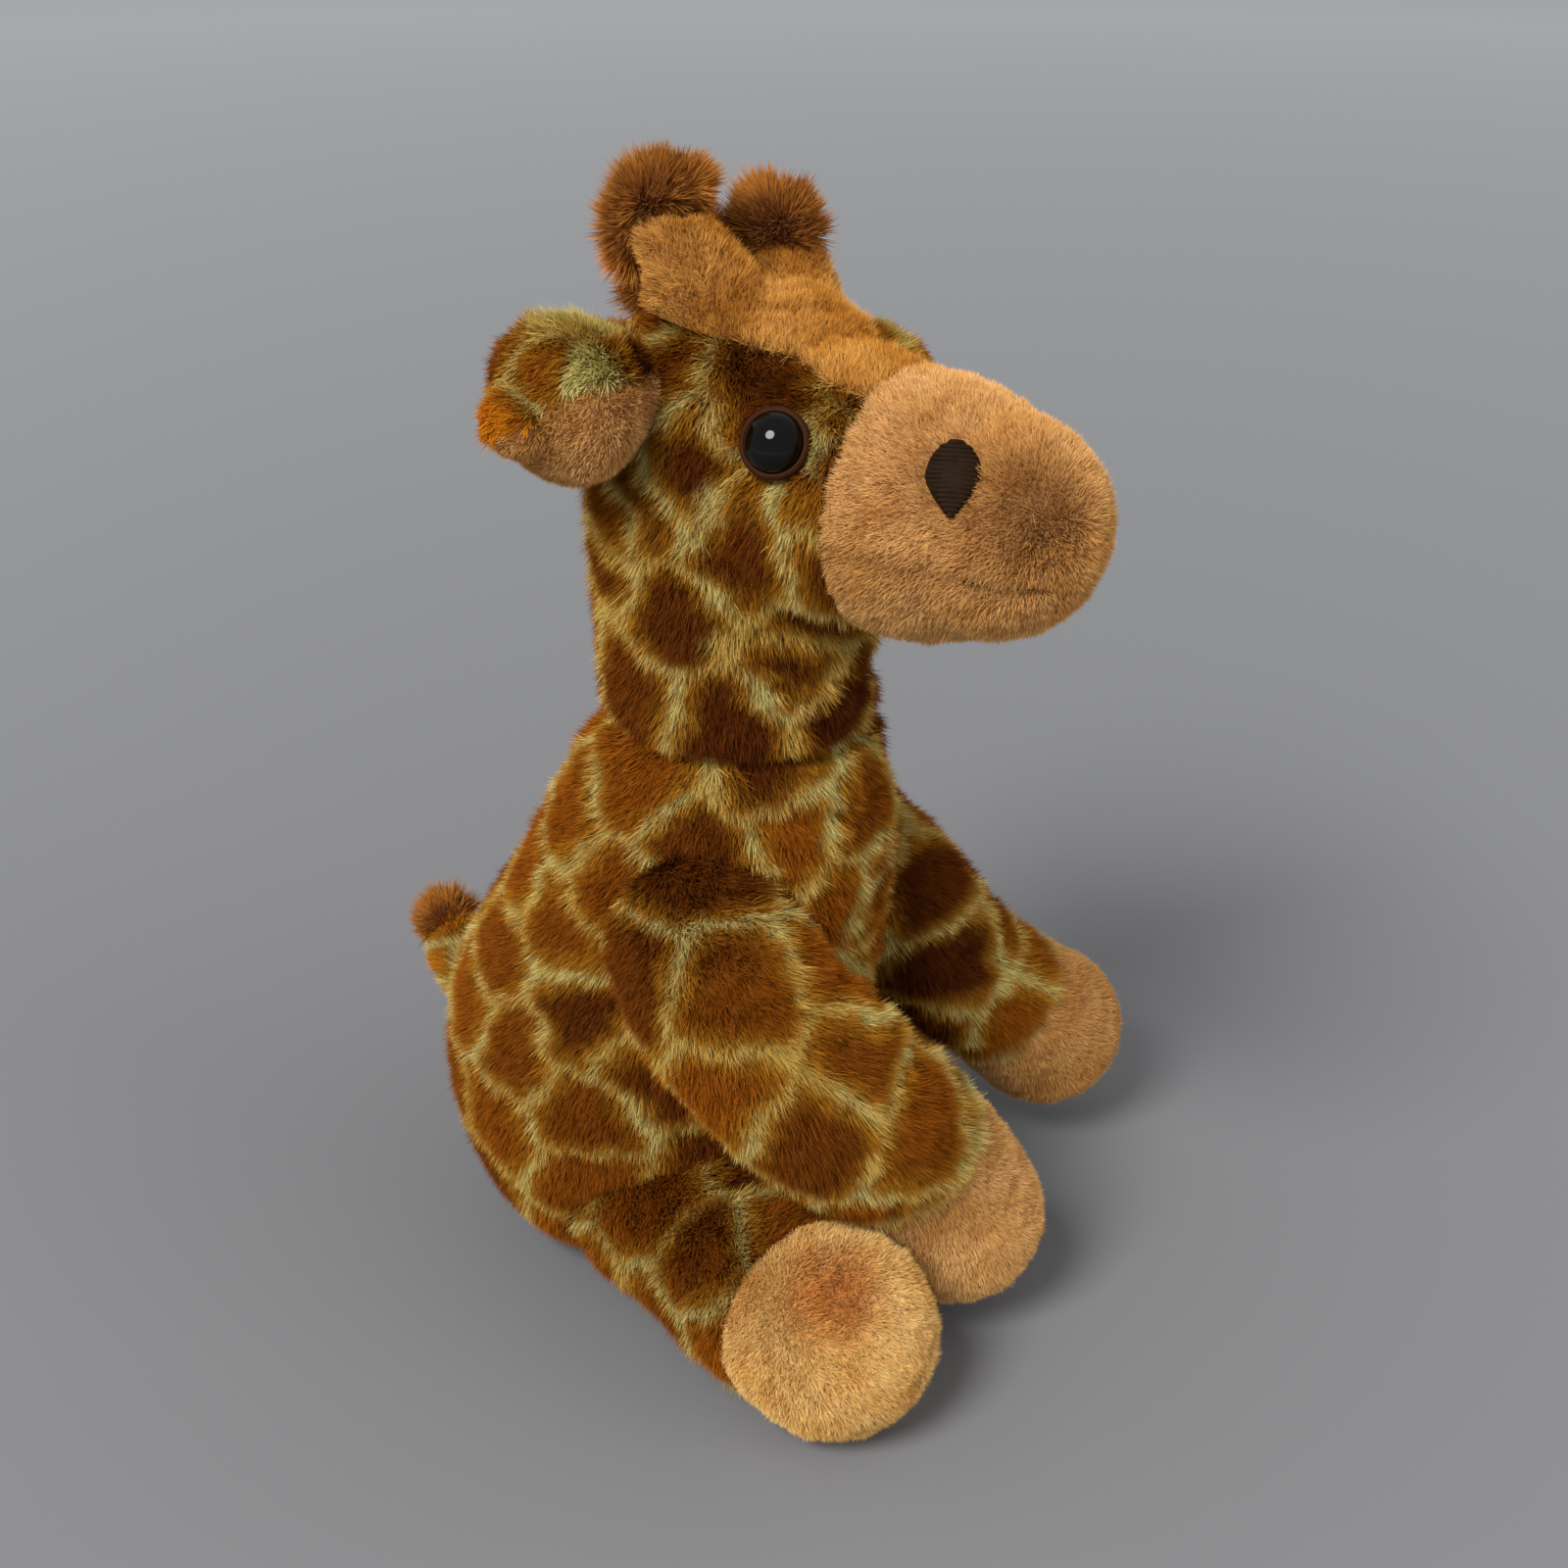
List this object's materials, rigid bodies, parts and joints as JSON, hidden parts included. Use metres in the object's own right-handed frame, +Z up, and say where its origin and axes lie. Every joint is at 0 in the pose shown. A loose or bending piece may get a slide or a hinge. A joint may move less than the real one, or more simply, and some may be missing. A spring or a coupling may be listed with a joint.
{
  "type": "plush giraffe",
  "caption": "Seated plush giraffe with a long neck, patterned pile skin, smooth muzzle, button eyes, ears, stub horns, four jointed limbs and a tufted tail.",
  "frame": {"origin": "middle of the flat seat that the toy sits on", "axes": "+Z up through the neck, -Y to the front, +X to the toy's left"},
  "size_m": [0.1817, 0.214, 0.2667],
  "materials": {
    "patch_plush": "short pile with brown patches and cream lines",
    "gold_plush": "short golden brown pile",
    "tan_velour": "tan velour",
    "pale_velour": "pale tan velour",
    "tuft_pile": "long dark brown pile",
    "black_button": "polished",
    "nostril_thread": "satin stitch",
    "fibrefill": "loose fibre",
    "bean_cloth": "cloth bag of pellets",
    "washer_plastic": "moulded"
  },
  "bodies": {
    "torso": {"body_skin": "patch_plush", "body_fibrefill": "fibrefill", "seat_bean_bag": "bean_cloth"},
    "head": {"neck_skin": "patch_plush", "head_skin": "patch_plush", "head_fibrefill": "fibrefill", "forehead_panel": "gold_plush", "muzzle": "tan_velour", "lower_jaw": "tan_velour", "mane": "tuft_pile", "eye_right": "black_button", "eye_left": "black_button", "eye_washer_right": "washer_plastic", "eye_washer_left": "washer_plastic", "nostril_right": "nostril_thread", "nostril_left": "nostril_thread", "horn_stalk_right": "gold_plush", "horn_stalk_left": "gold_plush", "horn_tuft_right": "tuft_pile", "horn_tuft_left": "tuft_pile"},
    "ear_right": {"ear_back_right": "patch_plush", "ear_lining_right": "tan_velour"},
    "ear_left": {"ear_back_left": "patch_plush", "ear_lining_left": "tan_velour"},
    "arm_right": {"arm_sleeve_right": "patch_plush", "arm_hoof_right": "tan_velour", "arm_fill_right": "fibrefill"},
    "arm_left": {"arm_sleeve_left": "patch_plush", "arm_hoof_left": "tan_velour", "arm_fill_left": "fibrefill"},
    "leg_right": {"leg_skin_right": "patch_plush", "leg_foot_right": "pale_velour", "leg_pellets_right": "bean_cloth"},
    "leg_left": {"leg_skin_left": "patch_plush", "leg_foot_left": "pale_velour", "leg_pellets_left": "bean_cloth"},
    "tail": {"tail_stalk": "patch_plush", "tail_tuft": "tuft_pile"}
  },
  "joints": [
    {"name": "neck_turn", "type": "hinge", "parent": "torso", "child": "head", "pos_m": [0, -0.0325, 0.146], "axis": [0, 0, 1], "range_deg": [-30, 30]},
    {"name": "ear_fold_right", "type": "hinge", "parent": "head", "child": "ear_right", "pos_m": [-0.03632, -0.029, 0.22168], "axis": [0, 1, 0], "range_deg": [-20, 20]},
    {"name": "ear_fold_left", "type": "hinge", "parent": "head", "child": "ear_left", "pos_m": [0.0364, -0.029, 0.21532], "axis": [0, 1, 0], "range_deg": [-20, 20]},
    {"name": "shoulder_right", "type": "hinge", "parent": "torso", "child": "arm_right", "pos_m": [-0.02328, -0.04074, 0.10639], "axis": [-0.4791, -0.8385, -0.2595], "range_deg": [0, 30]},
    {"name": "shoulder_left", "type": "hinge", "parent": "torso", "child": "arm_left", "pos_m": [0.02959, -0.02749, 0.103], "axis": [0.9404, -0.3401, 0], "range_deg": [-45, 8]},
    {"name": "hip_right", "type": "hinge", "parent": "torso", "child": "leg_right", "pos_m": [-0.0209, -0.024, 0.022], "axis": [0.9907, -0.1358, 0], "range_deg": [0, 30]},
    {"name": "hip_left", "type": "hinge", "parent": "torso", "child": "leg_left", "pos_m": [0.025, -0.012, 0.022], "axis": [-0.1993, 0.9799, 0], "range_deg": [0, 30]},
    {"name": "tail_lift", "type": "hinge", "parent": "torso", "child": "tail", "pos_m": [0, 0.0545, 0.039], "axis": [1, 0, 0], "range_deg": [-25, 25]}
  ]
}
